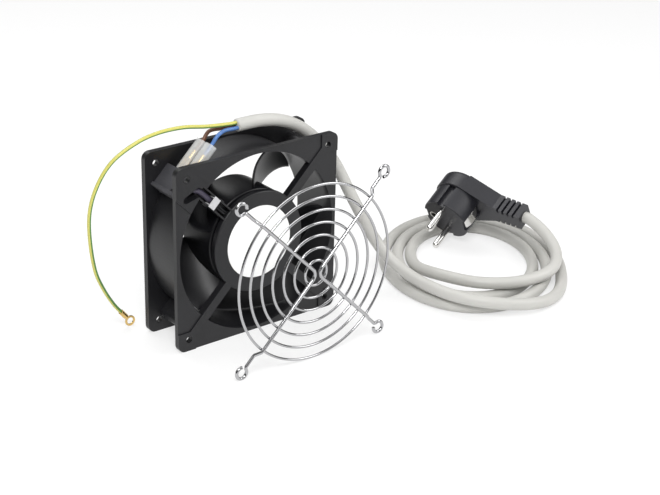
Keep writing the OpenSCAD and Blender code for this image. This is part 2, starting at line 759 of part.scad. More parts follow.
module rounded(w, h, r) {
    square([w, h - 2 * r], center = true);
    square([w - 2 * r, h], center = true);
    for (x = [r - w / 2, w / 2 - r], y = [r - h / 2, h / 2 - r]) translate([x, y]) circle(r, $fn = 32);
}

// Draws with z running outwards along a terminal from its block
module along_tab(z) {
    on_axis() at_corner(terminal_angle) translate([tab_reach, -block_low, z]) rotate([90, 0, 0]) children();
}

module tab_sleeves() {
    color("#dfe3e6", 0.5) for (z = tab_mid) along_tab(z) translate([0, 0, sleeve_off]) difference() {
        linear_extrude(sleeve_len) rounded(sleeve_h, sleeve_w, sleeve_round);
        translate([0, 0, -over]) linear_extrude(sleeve_len + 2 * over)
            rounded(sleeve_h - 2 * sleeve_wall, sleeve_in_w, sleeve_round - sleeve_wall);
    }
}

module tab_receptacles() {
    color("#c9a24e") for (z = tab_mid) along_tab(z) translate([0, 0, receptacle_off]) difference() {
        union() {
            linear_extrude(receptacle_len) square([receptacle_t, sleeve_in_w], center = true);
            translate([0, 0, receptacle_len]) cylinder(r = core_d / 2 + crimp_wall, h = crimp_len);
        }
        translate([-tab_t / 2, -tab_w / 2, -over]) cube([tab_t, tab_w, tab_len - receptacle_off + over]);
        translate([0, 0, receptacle_len + crimp_len - crimp_grip]) cylinder(r = core_d / 2, h = crimp_grip + over);
    }
}

// Mains cord, in the frame of the whole part
sheath_end = [-3.5, -19, 71];
core_at = 1.9;
brown_angle = -30;
blue_angle = 210;
core_sink = 0.5;
function core_start(a) = [sheath_end[0] + core_sink, sheath_end[1] + core_at * cos(a), sheath_end[2] + core_at * sin(a)];
function on_tab(z, along) = let (x = tab_reach, y = block_low + along) [(y - x) / sqrt(2), -z, (x + y) / sqrt(2)];
crimp_end = receptacle_off + receptacle_len + crimp_len;
function live_route(z, a) = [core_start(a), core_start(a) - [5, 0, 0], [-14, -19 + 0.5 * (19 - z), 70.3],
    on_tab(z, 29) + [0, 0, 0.6], on_tab(z, sleeve_off + sleeve_len), on_tab(z, crimp_end - crimp_grip)];
earth_route = [core_start(90), core_start(90) - [6, 0, 0], [-25.5, -19, 74.6], [-42.3, -18, 77], [-60, -17, 76.4],
    [-74.2, -15, 71.8], [-87.7, -12, 62.4], [-95.6, -8, 47.6], [-98.7, -4, 30.3], [-96.8, 0, 9.9], [-91.3, 5, -12.3],
    [-84, 8.5, -28], [-76, 11.6, -41]];
lug_at = [-63.9, 12.3, floor_z + lug_d / 2];
lug_angle = 129;
lug_neck = 4.5;
lug_dir = [cos(lug_angle), 0, sin(lug_angle)];
lug_grip = 4;
lug_wall = 0.5;

module core_brown() {
    color("#6b3f22") tube(curve(live_route(tab_mid[0], brown_angle), 3), core_d, 8);
}

module core_blue() {
    color("#2c5fa8") tube(curve(live_route(tab_mid[1], blue_angle), 3), core_d, 8);
}

module core_earth() {
    route = concat(earth_route, [lug_at + (lug_neck + lug_barrel_len) * lug_dir,
        lug_at + (lug_neck + lug_barrel_len - lug_grip) * lug_dir]);
    color("#7fae2b") tube(curve(route, 3), core_d, 8);
}

module earth_ring() {
    color("#c9a85c") translate(lug_at) rotate([90, 0, 0]) rotate([0, 0, lug_angle]) difference() {
        union() {
            translate([0, 0, -lug_t / 2]) cylinder(r = lug_d / 2, h = lug_t);
            translate([0, -core_d / 2, -lug_t / 2]) cube([lug_neck + lug_wall, core_d, lug_t]);
            translate([lug_neck, 0, 0]) rotate([0, 90, 0]) cylinder(r = core_d / 2 + lug_wall, h = lug_barrel_len);
        }
        translate([0, 0, -lug_t]) cylinder(r = lug_bore / 2, h = 2 * lug_t);
        translate([lug_neck + lug_barrel_len - lug_grip, 0, 0]) rotate([0, 90, 0])
            cylinder(r = core_d / 2, h = lug_grip + over);
    }
}

coil_at = [172, -46.9];
coil_drift = [1.75, 2.1];
coil_lean = 51;
coil_stretch = 1.146;
coil_start = 275;
coil_from = 0.1;
coil_turns = 2.95;
coil_climb_from = 2.68;
coil_climb_turns = 0.16;
coil_out_from = 2.66;
coil_spread = 170;
coil_lift = cord_d + 2 * fit_gap;
function coil_rho(u) = coil_r - coil_pitch * u + coil_spread * pow(max(0, u - coil_out_from), 2);
function coil_rise(u) = coil_lift * sin(90 * min(1, max(0, u - coil_climb_from) / coil_climb_turns));
function coil_point(u) = let (a = coil_start + 360 * u - coil_lean, x = coil_rho(u) * coil_stretch * cos(a),
        y = coil_rho(u) / coil_stretch * sin(a))
    [coil_at[0] + coil_drift[0] * u + x * cos(coil_lean) - y * sin(coil_lean),
    coil_at[1] + coil_drift[1] * u + x * sin(coil_lean) + y * cos(coil_lean), floor_z + cord_d / 2 + coil_rise(u)];
coil_steps = round(24 * (coil_turns - coil_from));
coil_bare = [for (i = [0:coil_steps]) coil_point(coil_from + (coil_turns - coil_from) * i / coil_steps)];
coil_in_dir = unit(coil_bare[1] - coil_bare[0]);
coil_out_dir = unit(coil_bare[coil_steps] - coil_bare[coil_steps - 1]);
coil_path = concat([coil_bare[0] - cord_d * coil_in_dir], coil_bare, [coil_bare[coil_steps] + cord_d * coil_out_dir]);
coil_end = coil_path[coil_steps + 2];
function seg_gap(p, a, b) = let (t = max(0, min(1, ((p - a) * (b - a)) / ((b - a) * (b - a))))) norm(p - a - t * (b - a));
coil_least = min([for (i = [0:coil_steps + 1]) for (j = [i + 9:coil_steps + 1]) if (j > i + 9)
    seg_gap(coil_path[i], coil_path[j], coil_path[j - 1])]) - cord_d;
riser_route = [sheath_end, [10.5, -19, 71.5], [29, -19, 68.5], [45, -19, 60.6], [55.5, -19.5, 51.7], [66, -20.2, 40],
    [74, -21, 28], [83, -23, 9], [93, -26, -11], [99.5, -30, -26], [105, -38, -37.5], [109, -50, -44.6],
    [110.3, -64, -46.9], [111, -79, -47], [114, -94, -47.1], [121, -107, -47.3], [131.5, -116.5, -48.5],
    [145, -122.5, -50.8], [160, -125, -53.3], [175, -123.5, -55.3], [189, -117.5, -56]];
riser_path = concat(curve(concat(riser_route, [coil_path[0] - cord_d * coil_in_dir / 4]), 2), [coil_path[0]]);

// Plug: z points out along its pins, x along the line between them and y towards the cord
plug_face = [185.2, -7.6, -40.9];
plug_turn = [-175.37, 58.76, 16.92];
function turned(y, z) = let (a = z * sin(plug_turn[1])) [a * cos(plug_turn[2]) - y * sin(plug_turn[2]),
    a * sin(plug_turn[2]) + y * cos(plug_turn[2]), z * cos(plug_turn[1])];
plug_cord_dir = turned(cos(plug_turn[0]), sin(plug_turn[0]));
plug_pin_dir = turned(-sin(plug_turn[0]), cos(plug_turn[0]));
relief_end = 52;
relief_from = 29;
relief_taper = 1.2;
plug_back = plug_depth + relief_h / 2;
cord_entry = plug_face - plug_back * plug_pin_dir + relief_end * plug_cord_dir;
tail_route = [coil_end, coil_end + cord_d * coil_out_dir / 2, [184, -105.5, -47.4], [199, -102.3, -46.6], [211, -93.3, -44],
    [218, -80.5, -39.6], [219.4, -67.5, -34.8], cord_entry + cord_d * plug_cord_dir, cord_entry - core_sink * plug_cord_dir];
tail_path = concat([coil_end], curve([for (i = [1:len(tail_route) - 1]) tail_route[i]], 3));
echo("least gap of the coil to itself", coil_least);
echo("cord lengths", path_length(riser_path), path_length(coil_path), path_length(tail_path));
echo("core lengths", path_length(curve(live_route(tab_mid[0], brown_angle), 3)), path_length(curve(earth_route, 3)));

module cord_riser() {
    color("#b9bbbc") tube(riser_path, cord_d, 10);
}

module cord_coil() {
    color("#b9bbbc") tube(coil_path, cord_d, 6);
}

module cord_tail() {
    color("#b9bbbc") tube(tail_path, cord_d, 10);
}

guide_w = 5.2;
guide_deep = 3;
clip_slot_w = 9;
clip_slot_deep = 2.5;
earth_clip_w = 8.4;
earth_clip_t = 0.8;
earth_clip_from = -16.5;
earth_clip_to = -1.5;
earth_clip_bow = 1.4;
plug_edge = 3;
plug_rim = 0.8;
pin_root = 10;
pin_step = 0.3;
pin_root_r = pin_d / 2 - pin_step;
earth_hole_at = -10;
earth_hole_r = 3.6;
earth_hole_in = 2.5;
earth_hole_deep = 14;
slot_w = 1.6;
slot_pitch = 4.2;
slot_deep = 3.4;
slot_first = 33.5;
relief_flange = 2.4;
relief_core = 10.5;
grip_pad = 0.8;

module on_plug() {
    translate(plug_face) rotate(plug_turn) children();
}

module relief_outline() {
    polygon([[-plug_body_r * 0.94, plug_body_r * 0.35], [plug_body_r * 0.94, plug_body_r * 0.35],
        [relief_w / 2, relief_from + over], [-relief_w / 2, relief_from + over]]);
    polygon([[-relief_w / 2, relief_from], [relief_w / 2, relief_from], [relief_w / 2 - relief_taper, relief_end],
        [relief_taper - relief_w / 2, relief_end]]);
}

module plug_body() {
    back = -plug_depth - plug_body_t;
    color("#1f2023") on_plug() difference() {
        union() {
            rotate_extrude($fn = 96) polygon(concat([[0, back]], arc([plug_body_r - plug_edge, back + plug_edge],
                plug_edge, -90, 0, 6), arc([plug_body_r - plug_rim, -plug_depth - plug_rim], plug_rim, 0, 90, 4),
                [[plug_r, -plug_depth]], arc([plug_r - plug_rim, -plug_rim], plug_rim, 0, 90, 4), [[0, 0]]));
            translate([0, 0, -plug_depth - relief_h]) linear_extrude(relief_h) relief_outline();
        }
        for (s = [-1, 1]) {
            translate([s * plug_r - (s + 1) / 2 * guide_deep, -guide_w / 2, -plug_depth])
                cube([guide_deep, guide_w, plug_depth + over]);
            translate([-clip_slot_w / 2, s * plug_r - (s + 1) / 2 * clip_slot_deep, -plug_depth])
                cube([clip_slot_w, clip_slot_deep, plug_depth + over]);
            translate([s * pin_pitch / 2, 0, -pin_root]) cylinder(r = pin_root_r, h = pin_root + over);
            for (i = [0:slot_n - 1]) translate([s * relief_w / 2 - (s + 1) / 2 * slot_deep, slot_first + i * slot_pitch,
                -plug_depth - relief_h - over]) cube([slot_deep, slot_w, relief_h + 2 * over]);
        }
        translate([0, earth_hole_at, -earth_hole_deep]) cylinder(r = earth_hole_r, h = earth_hole_deep + over);
    }
}

module plug_pins() {
    color("#d9dbdd") on_plug() for (s = [-1, 1]) translate([s * pin_pitch / 2, 0, 0]) {
        translate([0, 0, -pin_root]) cylinder(r = pin_root_r, h = pin_root + 2 * pin_step);
        translate([0, 0, pin_step]) cylinder(r = pin_d / 2, h = pin_len - pin_d / 2 - pin_step);
        translate([0, 0, pin_len - pin_d / 2]) sphere(pin_d / 2);
    }
}

module plug_earth_clips() {
    seat = plug_r - clip_slot_deep;
    out = [for (i = [0:8]) [seat + earth_clip_bow * sin(22.5 * i), earth_clip_from + (earth_clip_to - earth_clip_from) * i / 8]];
    color("#c8cbce") on_plug() for (a = [0, 180]) rotate([0, 0, a]) rotate([90, 0, -90])
        translate([0, 0, -earth_clip_w / 2]) linear_extrude(earth_clip_w)
            mirror([1, 0]) polygon(concat(out, [for (i = [8:-1:0]) [out[i][0] + earth_clip_t, out[i][1]]]));
}

module plug_earth_socket() {
    color("#b9bcc0") on_plug() translate([0, earth_hole_at, -earth_hole_deep]) ring(earth_hole_r, earth_hole_in, earth_hole_deep);
}

housing();
terminal_block();
terminal_tabs();
motor_leads();
lead_sleeve();
lead_clip();
hub_label();
bearing_tube();
bearing_outer_races();
preload_washer();
stator_core();
stator_bobbins();
stator_windings();
impeller();
rotor_cup();
rotor_core();
rotor_cage();
shaft();
shaft_circlip();
bearing_inner_races();
bearing_balls();
guard_rings();
guard_spoke_left();
guard_spoke_right();
tab_sleeves();
tab_receptacles();
core_brown();
core_blue();
core_earth();
earth_ring();
cord_riser();
cord_coil();
cord_tail();
plug_body();
plug_pins();
plug_earth_clips();
plug_earth_socket();
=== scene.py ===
import bmesh
import bpy
import math
from bpy.props import FloatProperty, FloatVectorProperty, IntProperty, PointerProperty
from mathutils import Euler, Matrix, Vector


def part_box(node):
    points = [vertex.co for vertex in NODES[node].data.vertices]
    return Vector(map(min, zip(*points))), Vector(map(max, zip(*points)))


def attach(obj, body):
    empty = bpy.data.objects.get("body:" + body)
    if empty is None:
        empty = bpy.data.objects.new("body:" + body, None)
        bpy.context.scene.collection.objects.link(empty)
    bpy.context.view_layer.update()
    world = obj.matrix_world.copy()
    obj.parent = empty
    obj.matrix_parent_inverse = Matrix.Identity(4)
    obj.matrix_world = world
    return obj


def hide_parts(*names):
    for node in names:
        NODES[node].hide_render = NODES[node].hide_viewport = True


bl_info = {
    "name": "Enclosure fan with guard and mains cord",
    "version": (1, 0, 0),
    "blender": (4, 5, 0),
    "location": "View3D > Sidebar > Fan",
    "description": "Dresses the enclosure fan: casting, impeller, finger guard, terminals, cord and plug",
    "category": "Object",
}

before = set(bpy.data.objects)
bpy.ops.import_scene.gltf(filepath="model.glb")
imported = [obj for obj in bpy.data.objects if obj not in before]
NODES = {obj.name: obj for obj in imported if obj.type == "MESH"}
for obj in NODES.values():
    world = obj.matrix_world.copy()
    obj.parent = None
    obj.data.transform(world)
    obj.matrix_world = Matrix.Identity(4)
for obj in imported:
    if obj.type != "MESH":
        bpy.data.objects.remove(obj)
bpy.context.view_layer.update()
MM = 0.001
FLOOR = -0.060
# Impeller hub, the rotor cup inside it, and how far the blades sink into the hub
HUB_R = 0.0326
CUP_R = 0.0304
HUB_SINK = 0.0011
# Where the lead channel and the terminals stand, seen from the front
TERMINAL_ANGLE = math.radians(135)
# Bared end of the sheath, in mm
SHEATH_END = (-3.5, -19, 71)
# Plug: the middle of its pin face, its turn, its depth and the reach of its strain relief
PLUG_FACE = Vector((0.1852, -0.0076, -0.0409))
PLUG_TURN = Euler([math.radians(a) for a in (-175.37, 58.76, 16.92)], "XYZ").to_matrix()
PLUG_BACK = 0.024
RELIEF_END = 0.052
# Guard in mm: its middle and the plane of its eyes, the bends of its wire, its eyes and its set-back
GUARD_AT = (4.7, -3.0)
GUARD_PLANE = -86.7
ROOT_BEND = 4.8
EYE_AT = 52.4 * math.sqrt(2)
EYE_R = 3.55
EYE_BEND = 2.0
SETBACK = 4.0
SETBACK_AT = 59.4
SETBACK_BEND = 2.5


# Paths and meshes

def smooth_curve(points, steps):
    """Curve through the points, with steps between neighbours."""
    p = [Vector(q) for q in points]
    made = []
    for i in range(len(p) - 1):
        a, b, c, d = p[max(i - 1, 0)], p[i], p[i + 1], p[min(i + 2, len(p) - 1)]
        for k in range(steps):
            t = k / steps
            made.append((2 * b + (c - a) * t + (2 * a - 5 * b + 4 * c - d) * t * t
                         + (3 * b - a - 3 * c + d) * t ** 3) / 2)
    made.append(p[-1])
    return made


def length_of(points):
    return sum((points[i + 1] - points[i]).length for i in range(len(points) - 1))


def even(points, step):
    """The same line with its points an even distance apart."""
    total = length_of(points)
    count = max(2, round(total / step))
    gap = total / count
    made, walked, i = [points[0].copy()], 0.0, 0
    for k in range(1, count):
        want = k * gap
        while walked + (points[i + 1] - points[i]).length < want:
            walked += (points[i + 1] - points[i]).length
            i += 1
        seg = points[i + 1] - points[i]
        made.append(points[i] + seg * ((want - walked) / seg.length))
    made.append(points[-1].copy())
    return made


def relaxed(points, rounds):
    """Takes small kinks out of a line and keeps its two ends straight."""
    p = [q.copy() for q in points]
    for _ in range(rounds):
        p = p[:2] + [p[i] * 0.5 + (p[i - 1] + p[i + 1]) * 0.25 for i in range(2, len(p) - 2)] + p[-2:]
    return p


def frames_along(points, start):
    """Tangents and a normal at each point, carried along without twist."""
    n = len(points)
    tangents = [(points[min(i + 1, n - 1)] - points[max(i - 1, 0)]).normalized() for i in range(n)]
    normal = Vector(start)
    made = []
    for t in tangents:
        normal = (normal - t * normal.dot(t)).normalized()
        made.append((t, normal.copy(), t.cross(normal)))
    return made


def new_object(name, mesh, material, body, smooth_angle=40):
    """Links a mesh as a piece that rides on a body."""
    mesh.materials.clear()
    mesh.materials.append(material)
    for face in mesh.polygons:
        face.use_smooth = True
    mesh.set_sharp_from_angle(angle=math.radians(smooth_angle))
    made = bpy.data.objects.new(name, mesh)
    bpy.context.scene.collection.objects.link(made)
    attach(made, body)
    return made


def finished(bm, name):
    """The mesh of these faces, with every normal outwards."""
    bmesh.ops.recalc_face_normals(bm, faces=bm.faces)
    mesh = bpy.data.meshes.new(name)
    bm.to_mesh(mesh)
    bm.free()
    return mesh


def tube_mesh(name, paths, radius, sides, start=(0, 0, 1), round_end=0.0):
    """Round tubes along paths, with u round them and v along them in metres."""
    bm = bmesh.new()
    uv = bm.loops.layers.uv.new("along")
    for points in paths:
        rings, walked = [], 0.0
        for i, (t, n, b) in enumerate(frames_along(points, start)):
            if i:
                walked += (points[i] - points[i - 1]).length
            rings.append((walked, [bm.verts.new(points[i] + radius * (math.cos(math.tau * k / sides) * n
                         + math.sin(math.tau * k / sides) * b)) for k in range(sides)]))
        if round_end:
            first = rings[0][1]
            mid = sum((v.co for v in first), Vector()) / sides
            back = frames_along(points, start)[0][0] * round_end
            inner = [bm.verts.new(mid + (v.co - mid) * (1 - round_end / radius) - back) for v in first]
            rings.insert(0, (rings[0][0], inner))
        for i in range(len(rings) - 1):
            (va, ra), (vb, rb) = rings[i], rings[i + 1]
            for k in range(sides):
                j = (k + 1) % sides
                face = bm.faces.new((ra[k], ra[j], rb[j], rb[k]))
                for loop, (u, v) in zip(face.loops, ((k, va), (k + 1, va), (k + 1, vb), (k, vb))):
                    loop[uv].uv = (u / sides, v)
        bm.faces.new(list(reversed(rings[0][1])))
        bm.faces.new(rings[-1][1])
    return finished(bm, name)


def lathe_mesh(name, outline, steps):
    """A closed outline of (radius, depth) turned about the fan's axis; depth counts from the rear face."""
    bm = bmesh.new()
    rings = []
    for k in range(steps):
        a = math.tau * k / steps
        rings.append([bm.verts.new((r * math.cos(a), -d, r * math.sin(a))) for r, d in outline])
    m = len(outline)
    for k in range(steps):
        ra, rb = rings[k], rings[(k + 1) % steps]
        for i in range(m):
            j = (i + 1) % m
            bm.faces.new((ra[i], rb[i], rb[j], ra[j]))
    return finished(bm, name)


def dress(node, name, material, body, bevel=0.0, angle=32, segments=2):
    """A merged copy of a CAD solid with its sharp edges rounded, standing for that node."""
    mesh = NODES[node].data.copy()
    mesh.name = name
    bm = bmesh.new()
    bm.from_mesh(mesh)
    bmesh.ops.remove_doubles(bm, verts=bm.verts, dist=2e-6)
    bmesh.ops.dissolve_limit(bm, angle_limit=math.radians(0.4), verts=bm.verts, edges=bm.edges)
    bm.to_mesh(mesh)
    bm.free()
    made = new_object(name, mesh, material, body, angle)
    if bevel:
        mod = made.modifiers.new("edge", "BEVEL")
        mod.width = bevel
        mod.segments = segments
        mod.limit_method = "ANGLE"
        mod.angle_limit = math.radians(angle)
        mod.use_clamp_overlap = True
    even_out = made.modifiers.new("flat_faces", "WEIGHTED_NORMAL")
    even_out.keep_sharp = True
    even_out.weight = 100
    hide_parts(node)
    return made


# Finishes

def link(tree, a, b):
    tree.links.new(a, b)


def finish_material(name, colour, roughness, metallic=0.0, tone=0.12, grain=900.0, bump=0.00002, spread=0.12,
                    stretch=(1.0, 1.0, 1.0), alpha=1.0, specular=0.5, blotch=60.0):
    """A finish whose colour, roughness and relief vary with two noises on Object coordinates."""
    mat = bpy.data.materials.new(name)
    mat.use_nodes = True
    tree = mat.node_tree
    shader = tree.nodes["Principled BSDF"]
    shader.inputs["Metallic"].default_value = metallic
    shader.inputs["Specular IOR Level"].default_value = specular
    shader.inputs["Alpha"].default_value = alpha
    coords = tree.nodes.new("ShaderNodeTexCoord")
    place = tree.nodes.new("ShaderNodeMapping")
    place.inputs["Scale"].default_value = stretch
    link(tree, coords.outputs["Object"], place.inputs["Vector"])
    fine = tree.nodes.new("ShaderNodeTexNoise")
    fine.inputs["Scale"].default_value = grain
    fine.inputs["Detail"].default_value = 3.0
    broad = tree.nodes.new("ShaderNodeTexNoise")
    broad.inputs["Scale"].default_value = blotch
    broad.inputs["Detail"].default_value = 4.0
    for noise in (fine, broad):
        link(tree, place.outputs["Vector"], noise.inputs["Vector"])
    ramp = tree.nodes.new("ShaderNodeValToRGB")
    low, high = ramp.color_ramp.elements
    low.position, high.position = 0.3, 0.7
    low.color = [c * (1 - tone) for c in colour[:3]] + [1]
    high.color = [min(1, c * (1 + tone)) for c in colour[:3]] + [1]
    link(tree, broad.outputs["Fac"], ramp.inputs["Fac"])
    link(tree, ramp.outputs["Color"], shader.inputs["Base Color"])
    rough = tree.nodes.new("ShaderNodeMapRange")
    rough.inputs["To Min"].default_value = max(0.02, roughness * (1 - spread))
    rough.inputs["To Max"].default_value = min(1, roughness * (1 + spread))
    link(tree, fine.outputs["Fac"], rough.inputs["Value"])
    link(tree, rough.outputs["Result"], shader.inputs["Roughness"])
    if bump:
        relief = tree.nodes.new("ShaderNodeBump")
        relief.inputs["Strength"].default_value = 0.6
        relief.inputs["Distance"].default_value = bump
        link(tree, fine.outputs["Fac"], relief.inputs["Height"])
        link(tree, relief.outputs["Normal"], shader.inputs["Normal"])
    return mat


def striped_material(name, green, yellow):
    """Green insulation with a yellow stripe down each side, by the tube's own UV map."""
    mat = finish_material(name, green, 0.42, tone=0.06, bump=0.00001)
    tree = mat.node_tree
    shader = tree.nodes["Principled BSDF"]
    ramp = next(n for n in tree.nodes if n.bl_idname == "ShaderNodeValToRGB")
    uv = tree.nodes.new("ShaderNodeUVMap")
    uv.uv_map = "along"
    split = tree.nodes.new("ShaderNodeSeparateXYZ")
    link(tree, uv.outputs["UV"], split.inputs["Vector"])
    turns = tree.nodes.new("ShaderNodeMath")
    turns.operation = "MULTIPLY_ADD"
    turns.inputs[1].default_value = math.tau * 2
    turns.inputs[2].default_value = math.pi
    link(tree, split.outputs["X"], turns.inputs[0])
    wave = tree.nodes.new("ShaderNodeMath")
    wave.operation = "SINE"
    link(tree, turns.outputs[0], wave.inputs[0])
    edge = tree.nodes.new("ShaderNodeMapRange")
    edge.inputs["From Min"].default_value = -0.2
    edge.inputs["From Max"].default_value = 0.0
    link(tree, wave.outputs[0], edge.inputs["Value"])
    mix = tree.nodes.new("ShaderNodeMix")
    mix.data_type = "RGBA"
    mix.inputs["B"].default_value = (*yellow, 1)
    link(tree, edge.outputs["Result"], mix.inputs["Factor"])
    link(tree, ramp.outputs["Color"], mix.inputs["A"])
    link(tree, mix.outputs["Result"], shader.inputs["Base Color"])
    return mat


# Settings

class CordSettings(bpy.types.PropertyGroup):
    sheath: FloatProperty(name="Sheath diameter", description="Outside diameter of the mains cord",
                          default=0.008, min=0.005, max=0.012, unit="LENGTH")
    core: FloatProperty(name="Core diameter", description="Diameter of one insulated core",
                        default=0.0024, min=0.001, max=0.004, unit="LENGTH")
    coil_radius: FloatProperty(name="Coil radius", description="Radius where the outermost turn starts",
                               default=0.0738, min=0.05, max=0.1, unit="LENGTH")
    coil_pitch: FloatProperty(name="Coil pitch", description="How much each turn is drawn in",
                              default=0.0105, min=0.008, max=0.015, unit="LENGTH")
    sheath_colour: FloatVectorProperty(name="Sheath colour", description="Light grey of the sheath",
                                       subtype="COLOR", size=3, default=(0.47, 0.465, 0.44), min=0, max=1)
    brown: FloatVectorProperty(name="Brown", description="Live core", subtype="COLOR", size=3,
                               default=(0.15, 0.065, 0.035), min=0, max=1)
    blue: FloatVectorProperty(name="Blue", description="Neutral core", subtype="COLOR", size=3,
                              default=(0.07, 0.17, 0.42), min=0, max=1)
    green: FloatVectorProperty(name="Green", description="Earth core", subtype="COLOR", size=3,
                               default=(0.1, 0.24, 0.05), min=0, max=1)
    yellow: FloatVectorProperty(name="Yellow", description="Stripe of the earth core", subtype="COLOR",
                                size=3, default=(0.54, 0.51, 0.12), min=0, max=1)


class GuardSettings(bpy.types.PropertyGroup):
    rings: IntProperty(name="Rings", description="Number of guard rings", default=7, min=3, max=9)
    step: FloatProperty(name="Ring step", description="Distance between rings", default=0.008, unit="LENGTH")
    ring_wire: FloatProperty(name="Ring wire", description="Wire of the rings", default=0.0016, unit="LENGTH")
    spoke_wire: FloatProperty(name="Spoke wire", description="Wire of the spokes", default=0.0021,
                              unit="LENGTH")
    colour: FloatVectorProperty(name="Plating", description="Colour of the bright plating", subtype="COLOR",
                                size=3, default=(0.46, 0.46, 0.47), min=0, max=1)


class ImpellerSettings(bpy.types.PropertyGroup):
    blades: IntProperty(name="Blades", description="Number of blades", default=5, min=3, max=9)
    tip: FloatProperty(name="Tip radius", description="Radius of the blade tips", default=0.0558,
                       unit="LENGTH")
    length: FloatProperty(name="Blade length", description="Axial length of a blade", default=0.027,
                          unit="LENGTH")
    wrap: FloatProperty(name="Wrap", description="Angle that a blade turns through",
                        default=math.radians(50), subtype="ANGLE")
    sweep: FloatProperty(name="Sweep", description="Angle by which the tip leads the root",
                         default=math.radians(8), subtype="ANGLE")
    lag: FloatProperty(name="Lag", description="How far the tip falls behind the sweep", default=2.0)
    phase: FloatProperty(name="Phase", description="Where the first blade stands",
                         default=math.radians(88), subtype="ANGLE")


class FinishSettings(bpy.types.PropertyGroup):
    paint: FloatVectorProperty(name="Casting paint", description="Satin black of the frame", subtype="COLOR",
                               size=3, default=(0.009, 0.009, 0.0105), min=0, max=1)
    impeller: FloatVectorProperty(name="Impeller", description="Half-gloss black of the blades",
                                  subtype="COLOR", size=3, default=(0.006, 0.006, 0.0072), min=0, max=1)
    plug: FloatVectorProperty(name="Plug", description="Black moulding of the plug", subtype="COLOR", size=3,
                              default=(0.012, 0.012, 0.016), min=0, max=1)
    label: FloatVectorProperty(name="Label", description="White film of the hub label", subtype="COLOR",
                               size=3, default=(0.86, 0.86, 0.85), min=0, max=1)


# Operators

def coil_line(settings, per_turn=60):
    """The coil's turns: an inward spiral whose last turn climbs over the others."""
    first, last, start = 0.1, 2.95, 275.0
    at, drift = (0.172, -0.0469), (0.00175, 0.0021)
    lean, stretch = math.radians(51), 1.146
    spread_from, spread = 2.66, 0.170
    climb_from, climb_turns, climb = 2.68, 0.16, settings.sheath + 0.0006
    count = round(per_turn * (last - first))
    made = []
    for i in range(count + 1):
        u = first + (last - first) * i / count
        rho = settings.coil_radius - settings.coil_pitch * u + spread * max(0, u - spread_from) ** 2
        lift = climb * math.sin(math.pi / 2 * min(1, max(0, u - climb_from) / climb_turns))
        a = math.radians(start + 360 * u) - lean
        x, y = rho * stretch * math.cos(a), rho / stretch * math.sin(a)
        made.append(Vector((at[0] + drift[0] * u + x * math.cos(lean) - y * math.sin(lean),
                            at[1] + drift[1] * u + x * math.sin(lean) + y * math.cos(lean),
                            FLOOR + settings.sheath / 2 + lift)))
    return made


class FAN_OT_mains_cord(bpy.types.Operator):
    """Makes the grey mains cord from its bared end over the frame and through its coil to the plug"""
    bl_idname = "enclosure_fan.mains_cord"
    bl_label = "Mains cord"

    def execute(self, context):
        s = context.scene.fan_cord
        spacing, rounds = 0.0025, 24
        riser = [SHEATH_END, (10.5, -19, 71.5), (29, -19, 68.5), (45, -19, 60.6), (55.5, -19.5, 51.7),
                 (66, -20.2, 40), (74, -21, 28), (83, -23, 9), (93, -26, -11), (99.5, -30, -26),
                 (105, -38, -37.5), (109, -50, -44.6), (110.3, -64, -46.9), (111, -79, -47),
                 (114, -94, -47.1), (121, -107, -47.3), (131.5, -116.5, -48.5), (145, -122.5, -50.8),
                 (160, -125, -53.3), (175, -123.5, -55.3), (189, -117.5, -56)]
        riser = [Vector(p) * MM for p in riser]
        coil = coil_line(s)
        into = (coil[1] - coil[0]).normalized()
        out = (coil[-1] - coil[-2]).normalized()
        start = coil[0] - s.sheath * into
        end = coil[-1] + s.sheath * out
        pin = PLUG_TURN @ Vector((0, 0, 1))
        away = PLUG_TURN @ Vector((0, 1, 0))
        entry = PLUG_FACE - PLUG_BACK * pin + RELIEF_END * away
        tail = [(184, -105.5, -47.4), (199, -102.3, -46.6), (211, -93.3, -44), (218, -80.5, -39.6),
                (219.4, -67.5, -34.8)]
        tail = [end + out * 0.002, *[Vector(p) * MM for p in tail],
                entry + s.sheath * away, entry - 0.0005 * away]
        line = smooth_curve(riser + [start - into * 0.002], 8) + [start, *coil, end] + smooth_curve(tail, 8)
        line = even(relaxed(even(line, spacing), rounds), spacing)
        floor = FLOOR + s.sheath / 2
        line = [Vector((p.x, p.y, max(p.z, floor))) for p in line]
        grey = finish_material("cord_pvc", s.sheath_colour, 0.46, tone=0.035, grain=1400, blotch=35)
        mesh = tube_mesh("mains_cord", [line], s.sheath / 2, 24, round_end=0.0005)
        cord = new_object("mains_cord", mesh, grey, "frame", 60)
        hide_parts("cord_riser", "cord_coil", "cord_tail")
        return {"FINISHED"}


def on_tab(depth, along):
    """A point in mm on a terminal's line: along it from its block, and depth in front of the rear face."""
    block_reach, tab_side = 63.0, 4.9
    x, y = block_reach, tab_side + along
    return Vector(((y - x) / math.sqrt(2), -depth, (x + y) / math.sqrt(2)))


